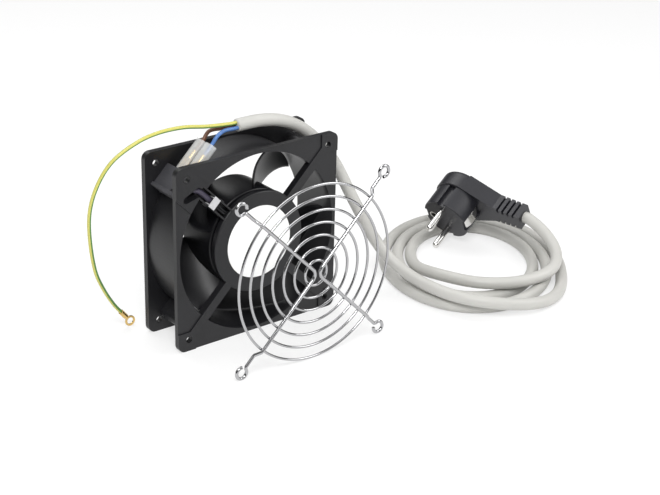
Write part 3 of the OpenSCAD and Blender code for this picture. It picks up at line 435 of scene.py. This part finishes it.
class FAN_OT_cores(bpy.types.Operator):
    """Makes the brown and blue cores into their sleeves and the striped earth core to its ring"""
    bl_idname = "enclosure_fan.cores"
    bl_label = "Insulated cores"

    def execute(self, context):
        s = context.scene.fan_cord
        x, y, z = SHEATH_END
        inside, off = x + 0.5, 1.9
        for name, depth, a, colour in (("core_brown", 14.0, -30, s.brown), ("core_blue", 23.4, 210, s.blue)):
            a = math.radians(a)
            first = Vector((inside, y + off * math.cos(a), z + off * math.sin(a)))
            route = [first, first - Vector((5, 0, 0)), Vector((-14, (y - depth) / 2, 70.3)),
                     on_tab(depth, 29) + Vector((0, 0, 0.6)), on_tab(depth, 22.5), on_tab(depth, 11.1)]
            line = even(smooth_curve([p * MM for p in route], 12), 0.0012)
            mat = finish_material(name + "_pvc", colour, 0.38, tone=0.05, bump=0.00001)
            mesh = tube_mesh(name + "_lead", [line], s.core / 2, 16)
            core = new_object(name + "_lead", mesh, mat, "frame", 60)
            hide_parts(name)
        route = [(inside, y, z + off), (-9.0, y, z + off), (-25.5, y, 74.6), (-42.3, -18, 77),
                 (-60, -17, 76.4), (-74.2, -15, 71.8), (-87.7, -12, 62.4), (-95.6, -8, 47.6),
                 (-98.7, -4, 30.3), (-96.8, 0, 9.9), (-91.3, 5, -12.3), (-84, 8.5, -28), (-76, 11.6, -41)]
        ring, ring_turn = Vector((-63.9, 12.3, -56.5)), math.radians(129)
        to_core = Vector((math.cos(ring_turn), 0, math.sin(ring_turn)))
        route = [Vector(p) for p in route] + [ring + 10.5 * to_core, ring + 6.5 * to_core]
        line = even(smooth_curve([p * MM for p in route], 12), 0.0015)
        mat = striped_material("core_earth_pvc", s.green, s.yellow)
        mesh = tube_mesh("core_earth_lead", [line], s.core / 2, 20)
        core = new_object("core_earth_lead", mesh, mat, "frame", 60)
        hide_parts("core_earth")
        return {"FINISHED"}


class FAN_OT_casting(bpy.types.Operator):
    """Paints the cast frame satin black and rounds its edges"""
    bl_idname = "enclosure_fan.casting"
    bl_label = "Cast frame"

    def execute(self, context):
        paint = finish_material("satin_black_paint", context.scene.fan_finish.paint, 0.42, tone=0.18,
                                grain=2600, bump=0.000035, spread=0.2, specular=0.45)
        casting = dress("housing", "frame_casting", paint, "frame", bevel=0.00035)
        return {"FINISHED"}


class FAN_OT_lead_channel(bpy.types.Operator):
    """Makes the motor leads with their sleeve and clip, and finishes the terminal block"""
    bl_idname = "enclosure_fan.lead_channel"
    bl_label = "Lead channel"

    def execute(self, context):
        route = [(18, 0, 29.7), (18, 0, 32.8), (19, 0, 34.8), (21.5, 0, 35.3), (33, 0, 35.3), (38, 0, 34.9),
                 (44, 0, 34.8), (49, 0, 34.8), (56, 0, 34.8), (61, 0.4, 34.7), (64, 3.6, 32.6),
                 (65.3, 7.6, 29), (65.4, 9.4, 25), (65.4, 9.6, 21.7)]
        lead_r, sleeve_r, sleeve_from, sleeve_side = 0.65, 1.9, 48.9, 2
        line = smooth_curve(route, 8)
        c, si = math.cos(TERMINAL_ANGLE), math.sin(TERMINAL_ANGLE)

        def placed(p):
            return Vector((p.x * c - p.y * si, -p.z, p.x * si + p.y * c)) * MM

        sides = frames_along(line, (0, 1, 0))
        pair = [[placed(p + n * off) for p, (t, n, b) in zip(line, sides)] for off in (-0.75, 0.75)]
        black = finish_material("lead_insulation", (0.012, 0.012, 0.014), 0.4)
        mesh = tube_mesh("motor_lead_pair", pair, lead_r * MM, 14)
        leads = new_object("motor_lead_pair", mesh, black, "frame", 60)
        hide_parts("motor_leads")
        over = [placed(p) for p in line if p.x >= sleeve_from and p.y < sleeve_side]
        purple = finish_material("sleeve_purple_grey", (0.055, 0.048, 0.075), 0.5)
        mesh = tube_mesh("motor_lead_sleeve", [over], sleeve_r * MM, 20)
        sleeve = new_object("motor_lead_sleeve", mesh, purple, "frame", 60)
        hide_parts("lead_sleeve")
        grey = finish_material("clip_light_grey", (0.5, 0.5, 0.51), 0.5, tone=0.05)
        dress("lead_clip", "lead_channel_clip", grey, "frame", bevel=0.0002)
        block = finish_material("terminal_block_plastic", (0.042, 0.042, 0.048), 0.6, grain=1800,
                                bump=0.00003)
        dress("terminal_block", "terminal_holder", block, "frame", bevel=0.0003)
        return {"FINISHED"}


def blade_section(s, r, stations):
    """One aerofoil section laid on a cylinder, front edge first down one side and back up the other."""
    root, front, half, camber = HUB_R - HUB_SINK, 0.030, 0.001, math.radians(5)
    turn = s.wrap * r
    long = math.hypot(turn, s.length)
    share = (r - root) / (s.tip - root)
    lead = s.sweep * share * (1 - s.lag * share)

    def point(u, thick, side):
        off = side * half * thick
        a = lead - s.wrap * u + camber * math.sin(math.pi * u) + off * s.length / long / r
        depth = front - s.length * u - off * turn / long
        return r * math.cos(a), r * math.sin(a), depth

    return [point(u, t, -1) for u, t in stations] + [point(u, t, 1) for u, t in reversed(stations)]


class FAN_OT_impeller(bpy.types.Operator):
    """Makes the impeller: aerofoil blades lofted from the hub to their tips"""
    bl_idname = "enclosure_fan.impeller"
    bl_label = "Impeller"

    def execute(self, context):
        s = context.scene.fan_impeller
        stations = [(0, 0.12), (0.008, 0.42), (0.03, 0.64), (0.08, 0.82), (0.16, 0.93), (0.3, 1), (0.45, 1),
                    (0.6, 0.94), (0.74, 0.82), (0.86, 0.66), (0.95, 0.5), (0.99, 0.32), (1, 0.12)]
        sections = 14
        root = HUB_R - HUB_SINK
        bm = bmesh.new()
        for blade in range(s.blades):
            phase = s.phase + math.tau * blade / s.blades
            rings = []
            for i in range(sections + 1):
                r = root + (s.tip - root) * i / sections
                ring = []
                for x, y, depth in blade_section(s, r, stations):
                    ring.append(bm.verts.new((x * math.cos(phase) - y * math.sin(phase), -depth,
                                              x * math.sin(phase) + y * math.cos(phase))))
                rings.append(ring)
            m = len(rings[0])
            for ra, rb in zip(rings, rings[1:]):
                for k in range(m):
                    j = (k + 1) % m
                    bm.faces.new((ra[k], ra[j], rb[j], rb[k]))
            for ring in (rings[0], rings[-1]):
                for k in range(m // 2 - 1):
                    bm.faces.new((ring[k], ring[k + 1], ring[m - 2 - k], ring[m - 1 - k]))
        hub_back, hub_front, chamfer, edge = 0.0026, 0.0312, 0.0003, 0.0014
        rounds = [(HUB_R - edge + edge * math.cos(a), hub_front - edge + edge * math.sin(a))
                  for a in [math.pi / 2 * k / 6 for k in range(7)]]
        outline = [(CUP_R, hub_back), (HUB_R - chamfer, hub_back), (HUB_R, hub_back + chamfer), *rounds,
                   (CUP_R, hub_front)]
        hub = lathe_mesh("hub_band", outline, 128)
        bm.from_mesh(hub)
        bpy.data.meshes.remove(hub)
        mesh = finished(bm, "fan_impeller")
        black = finish_material("impeller_black", context.scene.fan_finish.impeller, 0.36, tone=0.1,
                                grain=1600, bump=0.000012, spread=0.15, specular=0.3)
        made = new_object("fan_impeller", mesh, black, "rotor", 38)
        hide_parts("impeller")
        return {"FINISHED"}


class FAN_OT_motor(bpy.types.Operator):
    """Finishes the motor: cup, stacks, cage, windings, bearings, shaft and the blank hub label"""
    bl_idname = "enclosure_fan.motor"
    bl_label = "Motor"

    def execute(self, context):
        steel = finish_material("drawn_steel", (0.34, 0.35, 0.36), 0.38, metallic=1.0, tone=0.1, bump=0.00001)
        ground = finish_material("ground_steel", (0.6, 0.61, 0.62), 0.22, metallic=1.0, tone=0.06,
                                 bump=0.000004)
        sheet = finish_material("stacked_sheet", (0.3, 0.31, 0.32), 0.45, metallic=1.0,
                                stretch=(0.02, 1, 0.02), grain=2000, bump=0.00003)
        alloy = finish_material("cage_alloy", (0.6, 0.61, 0.62), 0.4, metallic=1.0)
        brass = finish_material("turned_brass", (0.62, 0.45, 0.2), 0.28, metallic=1.0, tone=0.08)
        nylon = finish_material("bobbin_nylon", (0.72, 0.69, 0.6), 0.5)
        copper = finish_material("enamelled_copper", (0.5, 0.2, 0.08), 0.3, metallic=1.0,
                                 stretch=(0.05, 1, 0.05), grain=3000, bump=0.00004)
        spring = finish_material("spring_steel", (0.2, 0.2, 0.21), 0.35, metallic=1.0)
        plan = {"rotor_cup": steel, "shaft": ground, "bearing_outer_races": ground,
                "bearing_inner_races": ground, "bearing_balls": ground, "rotor_core": sheet,
                "stator_core": sheet, "rotor_cage": alloy, "bearing_tube": brass, "stator_bobbins": nylon,
                "stator_windings": copper, "preload_washer": spring, "shaft_circlip": spring}
        for node, material in plan.items():
            mesh = NODES[node].data
            mesh.materials.clear()
            mesh.materials.append(material)
        film = finish_material("label_film", context.scene.fan_finish.label, 0.42, tone=0.015, grain=700,
                               bump=0.000006, blotch=25)
        dress("hub_label", "blank_hub_label", film, "frame", bevel=0.00008)
        return {"FINISHED"}


def ring_tree(material):
    """Geometry Nodes: concentric wire rings, a step apart, in the plane square to the fan's axis."""
    tree = bpy.data.node_groups.new("guard_ring_rows", "GeometryNodeTree")
    tree.interface.new_socket("Geometry", in_out="OUTPUT", socket_type="NodeSocketGeometry")
    sockets = {}
    for label, kind in (("Rings", "NodeSocketInt"), ("Step", "NodeSocketFloat"),
                        ("Wire radius", "NodeSocketFloat"), ("Centre", "NodeSocketVector")):
        sockets[label] = tree.interface.new_socket(label, in_out="INPUT", socket_type=kind).identifier
    add = tree.nodes.new
    entry, leave = add("NodeGroupInput"), add("NodeGroupOutput")
    row, index = add("GeometryNodeMeshLine"), add("GeometryNodeInputIndex")
    row.mode = "OFFSET"
    row.inputs["Offset"].default_value = (0, 0, 0)
    one, times = add("ShaderNodeMath"), add("ShaderNodeMath")
    one.operation, times.operation = "ADD", "MULTIPLY"
    one.inputs[1].default_value = 1.0
    hoop = add("GeometryNodeCurvePrimitiveCircle")
    hoop.inputs["Resolution"].default_value = 128
    hoop.inputs["Radius"].default_value = 1.0
    spread, real = add("GeometryNodeInstanceOnPoints"), add("GeometryNodeRealizeInstances")
    wire, sweep = add("GeometryNodeCurvePrimitiveCircle"), add("GeometryNodeCurveToMesh")
    wire.inputs["Resolution"].default_value = 16
    place, last = add("GeometryNodeTransform"), add("GeometryNodeRealizeInstances")
    coat = add("GeometryNodeSetMaterial")
    coat.inputs["Material"].default_value = material
    place.inputs["Rotation"].default_value = (math.pi / 2, 0, 0)
    link(tree, entry.outputs["Rings"], row.inputs["Count"])
    link(tree, index.outputs["Index"], one.inputs[0])
    link(tree, one.outputs[0], times.inputs[0])
    link(tree, entry.outputs["Step"], times.inputs[1])
    link(tree, row.outputs["Mesh"], spread.inputs["Points"])
    link(tree, hoop.outputs["Curve"], spread.inputs["Instance"])
    link(tree, times.outputs[0], spread.inputs["Scale"])
    link(tree, spread.outputs["Instances"], real.inputs["Geometry"])
    steady = add("GeometryNodeSetCurveRadius")
    steady.inputs["Radius"].default_value = 1.0
    link(tree, real.outputs["Geometry"], steady.inputs["Curve"])
    link(tree, entry.outputs["Wire radius"], wire.inputs["Radius"])
    link(tree, steady.outputs["Curve"], sweep.inputs["Curve"])
    link(tree, wire.outputs["Curve"], sweep.inputs["Profile Curve"])
    link(tree, sweep.outputs["Mesh"], place.inputs["Geometry"])
    link(tree, entry.outputs["Centre"], place.inputs["Translation"])
    link(tree, place.outputs["Geometry"], last.inputs["Geometry"])
    link(tree, last.outputs["Geometry"], coat.inputs["Geometry"])
    link(tree, coat.outputs["Geometry"], leave.inputs["Geometry"])
    return tree, sockets


def from_nodes(name, tree, values):
    """The plain mesh that a Geometry Nodes tree makes with these input values."""
    host = bpy.data.objects.new(name + "_host", bpy.data.meshes.new(name + "_host"))
    bpy.context.scene.collection.objects.link(host)
    mod = host.modifiers.new("rows", "NODES")
    mod.node_group = tree
    for identifier, value in values.items():
        mod[identifier] = value
    graph = bpy.context.evaluated_depsgraph_get()
    mesh = bpy.data.meshes.new_from_object(host.evaluated_get(graph))
    mesh.name = name
    host.modifiers.remove(mod)
    bpy.data.objects.remove(host)
    return mesh


def arc_points(radius, start, sweep, steps):
    """Points along an arc about the origin, from a start angle over a sweep, both in degrees."""
    angles = [math.radians(start + sweep * i / steps) for i in range(steps + 1)]
    return [(radius * math.cos(a), radius * math.sin(a)) for a in angles]


def arm_points(angle):
    """One guard arm from the bend at its root, over its set-back, to the end of its eye, in mm."""
    run = math.sqrt((EYE_BEND + EYE_R) ** 2 - EYE_BEND ** 2)
    turn = math.degrees(math.asin(EYE_BEND / (EYE_BEND + EYE_R)))
    slope = math.radians(45)
    flat = SETBACK - 2 * SETBACK_BEND * (1 - math.cos(slope))
    reach = SETBACK_BEND * math.sin(slope) + flat / 2
    arc = [(x, SETBACK_BEND + z) for x, z in arc_points(SETBACK_BEND, -90, 45, 6)]
    made = [(ROOT_BEND + 0.2, 0, SETBACK)] + [(SETBACK_AT - reach + x, 0, SETBACK - z) for x, z in arc]
    made += [(SETBACK_AT + reach - x, 0, z) for x, z in reversed(arc)]
    made += [(EYE_AT - run + x, EYE_BEND + y, 0) for x, y in arc_points(EYE_BEND, -90, 90 - turn, 6)]
    made += [(EYE_AT + x, y, 0) for x, y in arc_points(EYE_R, 180 - turn, -300, 40)[1:]]
    c, s = math.cos(math.radians(angle)), math.sin(math.radians(angle))
    return [(x * c - y * s, x * s + y * c, z) for x, y, z in made]


class FAN_OT_finger_guard(bpy.types.Operator):
    """Makes the plated wire guard: rows of rings and two bent pairs of spokes with open eyes"""
    bl_idname = "enclosure_fan.finger_guard"
    bl_label = "Finger guard"

    def execute(self, context):
        s = context.scene.fan_guard
        low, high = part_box("guard_rings")
        centre = (low + high) / 2
        plate = finish_material("bright_nickel_plate", s.colour, 0.13, metallic=1.0, tone=0.03, grain=1200,
                                bump=0.000004, spread=0.3)
        tree, sockets = ring_tree(plate)
        mesh = from_nodes("guard_ring_set", tree, {sockets["Rings"]: s.rings, sockets["Step"]: s.step,
                          sockets["Wire radius"]: s.ring_wire / 2, sockets["Centre"]: tuple(centre)})
        rings = new_object("guard_ring_set", mesh, plate, "guard", 60)
        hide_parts("guard_rings")
        for name, node, first, second, mid in (("guard_left_pair", "guard_spoke_left", 135, 225, 0),
                                               ("guard_right_pair", "guard_spoke_right", 315, 45, 180)):
            mid_x = -ROOT_BEND * math.sqrt(2) * math.cos(math.radians(mid))
            root = [(mid_x + x, y, SETBACK) for x, y in arc_points(ROOT_BEND, mid + 45, -90, 10)]
            wire = list(reversed(arm_points(first))) + root + arm_points(second)
            line = [Vector((GUARD_AT[0] + x, GUARD_PLANE - z, GUARD_AT[1] + y)) * MM for x, y, z in wire]
            mesh = tube_mesh(name, [line], s.spoke_wire / 2, 16, start=(0, 1, 0))
            spoke = new_object(name, mesh, plate, "guard", 50)
            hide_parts(node)
        return {"FINISHED"}


class FAN_OT_terminals(bpy.types.Operator):
    """Finishes the flat terminals, their brass receptacles, the clear sleeves and the earth ring"""
    bl_idname = "enclosure_fan.terminals"
    bl_label = "Terminals"

    def execute(self, context):
        tin = finish_material("tinned_strip", (0.55, 0.52, 0.42), 0.3, metallic=1.0, tone=0.1)
        brass = finish_material("pressed_brass", (0.74, 0.52, 0.2), 0.28, metallic=1.0, bump=0.00001)
        clear = finish_material("clear_soft_sleeve", (0.8, 0.81, 0.8), 0.3, tone=0.05, alpha=0.32)
        dress("terminal_tabs", "flat_terminals", tin, "frame", bevel=0.00012)
        dress("tab_receptacles", "push_on_receptacles", brass, "frame", bevel=0.00015)
        dress("tab_sleeves", "clear_terminal_sleeves", clear, "frame", bevel=0.00015)
        dress("earth_ring", "earth_ring_terminal", brass, "frame", bevel=0.00012)
        return {"FINISHED"}


class FAN_OT_plug(bpy.types.Operator):
    """Finishes the angled plug: moulding, pins, earth clips and the socket for an earth pin"""
    bl_idname = "enclosure_fan.plug"
    bl_label = "Angled plug"

    def execute(self, context):
        rubber = finish_material("plug_moulding_black", context.scene.fan_finish.plug, 0.44, tone=0.15,
                                 grain=1500, bump=0.00003, spread=0.15)
        nickel = finish_material("nickel_pins", (0.74, 0.73, 0.71), 0.16, metallic=1.0, tone=0.04,
                                 bump=0.000004)
        dress("plug_body", "plug_moulding", rubber, "frame", bevel=0.0004, segments=3)
        dress("plug_pins", "plug_contacts", nickel, "frame")
        dress("plug_earth_clips", "plug_clips", nickel, "frame", bevel=0.00015)
        dress("plug_earth_socket", "plug_socket_tube", nickel, "frame", bevel=0.00015)
        return {"FINISHED"}


def soft_light(name, place, size, power):
    """A round soft lamp that points at the middle of the object."""
    aim = Vector((0.05, -0.03, 0))
    lamp = bpy.data.lights.new(name, "AREA")
    lamp.shape = "DISK"
    lamp.size = size
    lamp.energy = power
    made = bpy.data.objects.new(name, lamp)
    made.location = place
    made.rotation_euler = (aim - Vector(place)).to_track_quat("-Z", "Y").to_euler()
    bpy.context.scene.collection.objects.link(made)


def for_rays(tree, *kinds):
    """A socket that is 1 for these kinds of ray and 0 for all others."""
    rays = tree.nodes.new("ShaderNodeLightPath")
    found = rays.outputs[f"Is {kinds[0]} Ray"]
    for kind in kinds[1:]:
        either = tree.nodes.new("ShaderNodeMath")
        either.operation = "MAXIMUM"
        link(tree, found, either.inputs[0])
        link(tree, rays.outputs[f"Is {kind} Ray"], either.inputs[1])
        found = either.outputs[0]
    return found


def photo_camera(scene):
    """The camera at the photograph's place, angle and focal length."""
    picture_width, focal_in_pixels, sensor_width = 660.0, 1533.0, 36.0
    place, roll = (-0.5082, -0.7391, 0.3830), math.radians(1.53)
    back = Vector((-0.5726, -0.7115, 0.4074)).normalized()
    right = Vector((0, 0, 1)).cross(back).normalized()
    up = back.cross(right)
    x = math.cos(roll) * right + math.sin(roll) * up
    y = -math.sin(roll) * right + math.cos(roll) * up
    lens = bpy.data.cameras.new("photo_camera")
    lens.sensor_fit = "HORIZONTAL"
    lens.sensor_width = sensor_width
    lens.lens = focal_in_pixels / picture_width * sensor_width
    lens.clip_end = 20.0
    camera = bpy.data.objects.new("photo_camera", lens)
    camera.matrix_world = Matrix.Translation(place) @ Matrix((x, y, back)).transposed().to_4x4()
    scene.collection.objects.link(camera)
    scene.camera = camera


def pale_floor(scene):
    """A white floor that takes soft shadows and glows a little to the camera."""
    half, glow_share = 4, 0.62
    mesh = bpy.data.meshes.new("floor")
    corners = [(-half, -half, FLOOR), (half, -half, FLOOR), (half, half, FLOOR), (-half, half, FLOOR)]
    mesh.from_pydata(corners, [], [(0, 1, 2, 3)])
    floor = bpy.data.objects.new("floor", mesh)
    scene.collection.objects.link(floor)
    mat = bpy.data.materials.new("pale_floor")
    mat.use_nodes = True
    tree = mat.node_tree
    shader = tree.nodes["Principled BSDF"]
    shader.inputs["Base Color"].default_value = (0.9, 0.9, 0.9, 1)
    shader.inputs["Roughness"].default_value = 0.7
    shader.inputs["Specular IOR Level"].default_value = 0.1
    glow = tree.nodes.new("ShaderNodeEmission")
    share = tree.nodes.new("ShaderNodeMath")
    share.operation = "MULTIPLY"
    share.inputs[1].default_value = glow_share
    link(tree, for_rays(tree, "Camera", "Glossy", "Transmission"), share.inputs[0])
    mix = tree.nodes.new("ShaderNodeMixShader")
    link(tree, share.outputs[0], mix.inputs["Fac"])
    link(tree, shader.outputs["BSDF"], mix.inputs[1])
    link(tree, glow.outputs["Emission"], mix.inputs[2])
    link(tree, mix.outputs["Shader"], tree.nodes["Material Output"].inputs["Surface"])
    mesh.materials.append(mat)


def white_world(scene):
    """A white room for the camera, softer for the light, and dark below its ceiling for reflections."""
    world = bpy.data.worlds.new("studio")
    scene.world = world
    world.use_nodes = True
    tree = world.node_tree
    plain = tree.nodes["Background"]
    plain.inputs["Color"].default_value = (1, 1, 1, 1)
    plain.inputs["Strength"].default_value = 0.58
    white = tree.nodes.new("ShaderNodeBackground")
    white.inputs["Color"].default_value = (1, 1, 1, 1)
    coords = tree.nodes.new("ShaderNodeTexCoord")
    axes = tree.nodes.new("ShaderNodeSeparateXYZ")
    height = tree.nodes.new("ShaderNodeMapRange")
    height.inputs["From Min"].default_value = 0.35
    height.inputs["From Max"].default_value = 0.75
    height.inputs["To Min"].default_value = 0.06
    height.inputs["To Max"].default_value = 1.0
    room = tree.nodes.new("ShaderNodeBackground")
    link(tree, coords.outputs["Generated"], axes.inputs["Vector"])
    link(tree, axes.outputs["Z"], height.inputs["Value"])
    link(tree, height.outputs["Result"], room.inputs["Strength"])
    shade = plain.outputs["Background"]
    for kinds, seen in ((("Glossy",), room), (("Camera", "Transmission"), white)):
        mix = tree.nodes.new("ShaderNodeMixShader")
        link(tree, for_rays(tree, *kinds), mix.inputs["Fac"])
        link(tree, shade, mix.inputs[1])
        link(tree, seen.outputs["Background"], mix.inputs[2])
        shade = mix.outputs["Shader"]
    link(tree, shade, tree.nodes["World Output"].inputs["Surface"])


class FAN_OT_studio(bpy.types.Operator):
    """Sets the pale floor, the soft lights and the camera at the photograph's angle"""
    bl_idname = "enclosure_fan.studio"
    bl_label = "Studio"

    def execute(self, context):
        context.scene.view_settings.view_transform = "Standard"
        photo_camera(context.scene)
        pale_floor(context.scene)
        white_world(context.scene)
        soft_light("key_light", (-0.5, -0.7, 0.9), 0.5, 10)
        soft_light("fill_light", (0.8, -0.6, 0.6), 0.7, 5)
        soft_light("top_light", (0.0, 0.5, 0.9), 0.7, 4)
        return {"FINISHED"}


class FAN_PT_parts(bpy.types.Panel):
    """Lists the pieces of the fan"""
    bl_label = "Enclosure fan"
    bl_idname = "FAN_PT_parts"
    bl_space_type = "VIEW_3D"
    bl_region_type = "UI"
    bl_category = "Fan"

    def draw(self, context):
        for operator in OPERATORS:
            self.layout.operator(operator.bl_idname)
        for group in ("fan_cord", "fan_guard", "fan_impeller", "fan_finish"):
            box = self.layout.box()
            settings = getattr(context.scene, group)
            for key in settings.__annotations__:
                box.prop(settings, key)


OPERATORS = (FAN_OT_studio, FAN_OT_mains_cord, FAN_OT_cores, FAN_OT_casting, FAN_OT_lead_channel,
             FAN_OT_impeller, FAN_OT_motor, FAN_OT_finger_guard, FAN_OT_terminals, FAN_OT_plug)
SETTINGS = {"fan_cord": CordSettings, "fan_guard": GuardSettings, "fan_impeller": ImpellerSettings,
            "fan_finish": FinishSettings}


def register():
    for cls in (*SETTINGS.values(), *OPERATORS, FAN_PT_parts):
        bpy.utils.register_class(cls)
    for key, group in SETTINGS.items():
        setattr(bpy.types.Scene, key, PointerProperty(type=group))


def unregister():
    for key in SETTINGS:
        delattr(bpy.types.Scene, key)
    for cls in reversed((*SETTINGS.values(), *OPERATORS, FAN_PT_parts)):
        bpy.utils.unregister_class(cls)


def main():
    register()
    ops = bpy.ops.enclosure_fan
    ops.studio()
    ops.terminals()
    ops.plug()
    ops.mains_cord()
    ops.cores()
    ops.casting()
    ops.lead_channel()
    ops.impeller()
    ops.motor()
    ops.finger_guard()


if __name__ == "__main__":
    main()
